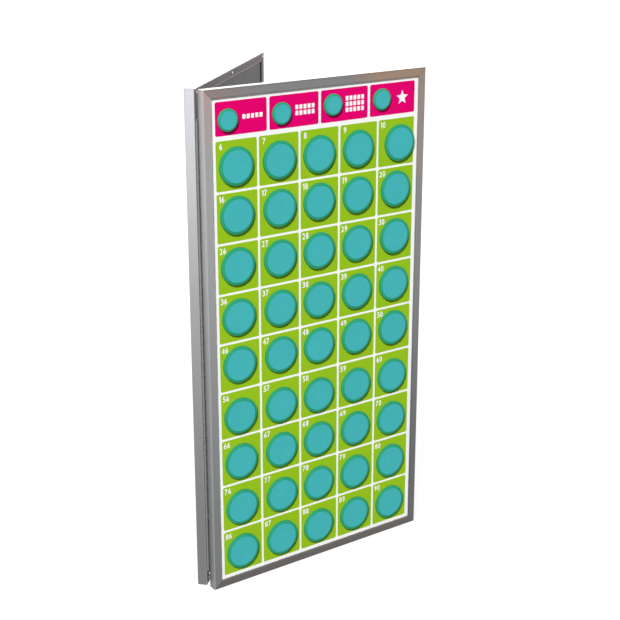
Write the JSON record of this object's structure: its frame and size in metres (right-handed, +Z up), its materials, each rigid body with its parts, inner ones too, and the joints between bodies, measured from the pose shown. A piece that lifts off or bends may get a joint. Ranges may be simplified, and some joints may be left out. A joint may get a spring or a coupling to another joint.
{
  "type": "bingo master board",
  "caption": "Folding bingo master board that stands open like a book: two framed steel-faced panels on a piano hinge, with round magnetic tokens that lift off numbered cells.",
  "frame": {"origin": "middle of the underside of the front panel bottom rail", "axes": "+Z up the panels, +X along the front panel from its hinge edge to its outer edge, -Y out of its printed face"},
  "size_m": [0.2499, 0.1856, 0.4749],
  "materials": {
    "frame_aluminium": "brushed satin",
    "hinge_steel": "rolled sheet",
    "printed_board": "white enamel with a printed grid",
    "token_plastic": "satin moulded"
  },
  "bodies": {
    "front_panel": {"front_board": "printed_board", "front_top_rail": "frame_aluminium", "front_bottom_rail": "frame_aluminium", "front_hinge_rail": "frame_aluminium", "front_outer_rail": "frame_aluminium", "front_hinge_leaf": "hinge_steel", "hinge_pin": "hinge_steel"},
    "rear_panel": {"rear_frame": "frame_aluminium", "rear_board": "printed_board", "rear_hinge_leaf": "hinge_steel"},
    "token_06": {"token_06": "token_plastic"},
    "token_07": {"token_07": "token_plastic"},
    "token_08": {"token_08": "token_plastic"},
    "token_09": {"token_09": "token_plastic"},
    "token_10": {"token_10": "token_plastic"},
    "token_16": {"token_16": "token_plastic"},
    "token_17": {"token_17": "token_plastic"},
    "token_18": {"token_18": "token_plastic"},
    "token_19": {"token_19": "token_plastic"},
    "token_20": {"token_20": "token_plastic"},
    "token_26": {"token_26": "token_plastic"},
    "token_27": {"token_27": "token_plastic"},
    "token_28": {"token_28": "token_plastic"},
    "token_29": {"token_29": "token_plastic"},
    "token_30": {"token_30": "token_plastic"},
    "token_36": {"token_36": "token_plastic"},
    "token_37": {"token_37": "token_plastic"},
    "token_38": {"token_38": "token_plastic"},
    "token_39": {"token_39": "token_plastic"},
    "token_40": {"token_40": "token_plastic"},
    "token_46": {"token_46": "token_plastic"},
    "token_47": {"token_47": "token_plastic"},
    "token_48": {"token_48": "token_plastic"},
    "token_49": {"token_49": "token_plastic"},
    "token_50": {"token_50": "token_plastic"},
    "token_56": {"token_56": "token_plastic"},
    "token_57": {"token_57": "token_plastic"},
    "token_58": {"token_58": "token_plastic"},
    "token_59": {"token_59": "token_plastic"},
    "token_60": {"token_60": "token_plastic"},
    "token_66": {"token_66": "token_plastic"},
    "token_67": {"token_67": "token_plastic"},
    "token_68": {"token_68": "token_plastic"},
    "token_69": {"token_69": "token_plastic"},
    "token_70": {"token_70": "token_plastic"},
    "token_76": {"token_76": "token_plastic"},
    "token_77": {"token_77": "token_plastic"},
    "token_78": {"token_78": "token_plastic"},
    "token_79": {"token_79": "token_plastic"},
    "token_80": {"token_80": "token_plastic"},
    "token_86": {"token_86": "token_plastic"},
    "token_87": {"token_87": "token_plastic"},
    "token_88": {"token_88": "token_plastic"},
    "token_89": {"token_89": "token_plastic"},
    "token_90": {"token_90": "token_plastic"},
    "header_token_1": {"header_token_1": "token_plastic"},
    "header_token_2": {"header_token_2": "token_plastic"},
    "header_token_3": {"header_token_3": "token_plastic"},
    "header_token_4": {"header_token_4": "token_plastic"}
  },
  "joints": [
    {"name": "panel_fold", "type": "hinge", "parent": "front_panel", "child": "rear_panel", "pos_m": [-0.12175, 0.00633, 0], "axis": [0, 0, 1], "range_deg": [-43, 137]},
    {"name": "token_06_lift", "type": "slide", "parent": "front_panel", "child": "token_06", "axis": [0, -1, 0], "range_m": [0, 0.04]},
    {"name": "token_07_lift", "type": "slide", "parent": "front_panel", "child": "token_07", "axis": [0, -1, 0], "range_m": [0, 0.04]},
    {"name": "token_08_lift", "type": "slide", "parent": "front_panel", "child": "token_08", "axis": [0, -1, 0], "range_m": [0, 0.04]},
    {"name": "token_09_lift", "type": "slide", "parent": "front_panel", "child": "token_09", "axis": [0, -1, 0], "range_m": [0, 0.04]},
    {"name": "token_10_lift", "type": "slide", "parent": "front_panel", "child": "token_10", "axis": [0, -1, 0], "range_m": [0, 0.04]},
    {"name": "token_16_lift", "type": "slide", "parent": "front_panel", "child": "token_16", "axis": [0, -1, 0], "range_m": [0, 0.04]},
    {"name": "token_17_lift", "type": "slide", "parent": "front_panel", "child": "token_17", "axis": [0, -1, 0], "range_m": [0, 0.04]},
    {"name": "token_18_lift", "type": "slide", "parent": "front_panel", "child": "token_18", "axis": [0, -1, 0], "range_m": [0, 0.04]},
    {"name": "token_19_lift", "type": "slide", "parent": "front_panel", "child": "token_19", "axis": [0, -1, 0], "range_m": [0, 0.04]},
    {"name": "token_20_lift", "type": "slide", "parent": "front_panel", "child": "token_20", "axis": [0, -1, 0], "range_m": [0, 0.04]},
    {"name": "token_26_lift", "type": "slide", "parent": "front_panel", "child": "token_26", "axis": [0, -1, 0], "range_m": [0, 0.04]},
    {"name": "token_27_lift", "type": "slide", "parent": "front_panel", "child": "token_27", "axis": [0, -1, 0], "range_m": [0, 0.04]},
    {"name": "token_28_lift", "type": "slide", "parent": "front_panel", "child": "token_28", "axis": [0, -1, 0], "range_m": [0, 0.04]},
    {"name": "token_29_lift", "type": "slide", "parent": "front_panel", "child": "token_29", "axis": [0, -1, 0], "range_m": [0, 0.04]},
    {"name": "token_30_lift", "type": "slide", "parent": "front_panel", "child": "token_30", "axis": [0, -1, 0], "range_m": [0, 0.04]},
    {"name": "token_36_lift", "type": "slide", "parent": "front_panel", "child": "token_36", "axis": [0, -1, 0], "range_m": [0, 0.04]},
    {"name": "token_37_lift", "type": "slide", "parent": "front_panel", "child": "token_37", "axis": [0, -1, 0], "range_m": [0, 0.04]},
    {"name": "token_38_lift", "type": "slide", "parent": "front_panel", "child": "token_38", "axis": [0, -1, 0], "range_m": [0, 0.04]},
    {"name": "token_39_lift", "type": "slide", "parent": "front_panel", "child": "token_39", "axis": [0, -1, 0], "range_m": [0, 0.04]},
    {"name": "token_40_lift", "type": "slide", "parent": "front_panel", "child": "token_40", "axis": [0, -1, 0], "range_m": [0, 0.04]},
    {"name": "token_46_lift", "type": "slide", "parent": "front_panel", "child": "token_46", "axis": [0, -1, 0], "range_m": [0, 0.04]},
    {"name": "token_47_lift", "type": "slide", "parent": "front_panel", "child": "token_47", "axis": [0, -1, 0], "range_m": [0, 0.04]},
    {"name": "token_48_lift", "type": "slide", "parent": "front_panel", "child": "token_48", "axis": [0, -1, 0], "range_m": [0, 0.04]},
    {"name": "token_49_lift", "type": "slide", "parent": "front_panel", "child": "token_49", "axis": [0, -1, 0], "range_m": [0, 0.04]},
    {"name": "token_50_lift", "type": "slide", "parent": "front_panel", "child": "token_50", "axis": [0, -1, 0], "range_m": [0, 0.04]},
    {"name": "token_56_lift", "type": "slide", "parent": "front_panel", "child": "token_56", "axis": [0, -1, 0], "range_m": [0, 0.04]},
    {"name": "token_57_lift", "type": "slide", "parent": "front_panel", "child": "token_57", "axis": [0, -1, 0], "range_m": [0, 0.04]},
    {"name": "token_58_lift", "type": "slide", "parent": "front_panel", "child": "token_58", "axis": [0, -1, 0], "range_m": [0, 0.04]},
    {"name": "token_59_lift", "type": "slide", "parent": "front_panel", "child": "token_59", "axis": [0, -1, 0], "range_m": [0, 0.04]},
    {"name": "token_60_lift", "type": "slide", "parent": "front_panel", "child": "token_60", "axis": [0, -1, 0], "range_m": [0, 0.04]},
    {"name": "token_66_lift", "type": "slide", "parent": "front_panel", "child": "token_66", "axis": [0, -1, 0], "range_m": [0, 0.04]},
    {"name": "token_67_lift", "type": "slide", "parent": "front_panel", "child": "token_67", "axis": [0, -1, 0], "range_m": [0, 0.04]},
    {"name": "token_68_lift", "type": "slide", "parent": "front_panel", "child": "token_68", "axis": [0, -1, 0], "range_m": [0, 0.04]},
    {"name": "token_69_lift", "type": "slide", "parent": "front_panel", "child": "token_69", "axis": [0, -1, 0], "range_m": [0, 0.04]},
    {"name": "token_70_lift", "type": "slide", "parent": "front_panel", "child": "token_70", "axis": [0, -1, 0], "range_m": [0, 0.04]},
    {"name": "token_76_lift", "type": "slide", "parent": "front_panel", "child": "token_76", "axis": [0, -1, 0], "range_m": [0, 0.04]},
    {"name": "token_77_lift", "type": "slide", "parent": "front_panel", "child": "token_77", "axis": [0, -1, 0], "range_m": [0, 0.04]},
    {"name": "token_78_lift", "type": "slide", "parent": "front_panel", "child": "token_78", "axis": [0, -1, 0], "range_m": [0, 0.04]},
    {"name": "token_79_lift", "type": "slide", "parent": "front_panel", "child": "token_79", "axis": [0, -1, 0], "range_m": [0, 0.04]},
    {"name": "token_80_lift", "type": "slide", "parent": "front_panel", "child": "token_80", "axis": [0, -1, 0], "range_m": [0, 0.04]},
    {"name": "token_86_lift", "type": "slide", "parent": "front_panel", "child": "token_86", "axis": [0, -1, 0], "range_m": [0, 0.04]},
    {"name": "token_87_lift", "type": "slide", "parent": "front_panel", "child": "token_87", "axis": [0, -1, 0], "range_m": [0, 0.04]},
    {"name": "token_88_lift", "type": "slide", "parent": "front_panel", "child": "token_88", "axis": [0, -1, 0], "range_m": [0, 0.04]},
    {"name": "token_89_lift", "type": "slide", "parent": "front_panel", "child": "token_89", "axis": [0, -1, 0], "range_m": [0, 0.04]},
    {"name": "token_90_lift", "type": "slide", "parent": "front_panel", "child": "token_90", "axis": [0, -1, 0], "range_m": [0, 0.04]},
    {"name": "header_token_1_lift", "type": "slide", "parent": "front_panel", "child": "header_token_1", "axis": [0, -1, 0], "range_m": [0, 0.04]},
    {"name": "header_token_2_lift", "type": "slide", "parent": "front_panel", "child": "header_token_2", "axis": [0, -1, 0], "range_m": [0, 0.04]},
    {"name": "header_token_3_lift", "type": "slide", "parent": "front_panel", "child": "header_token_3", "axis": [0, -1, 0], "range_m": [0, 0.04]},
    {"name": "header_token_4_lift", "type": "slide", "parent": "front_panel", "child": "header_token_4", "axis": [0, -1, 0], "range_m": [0, 0.04]}
  ]
}
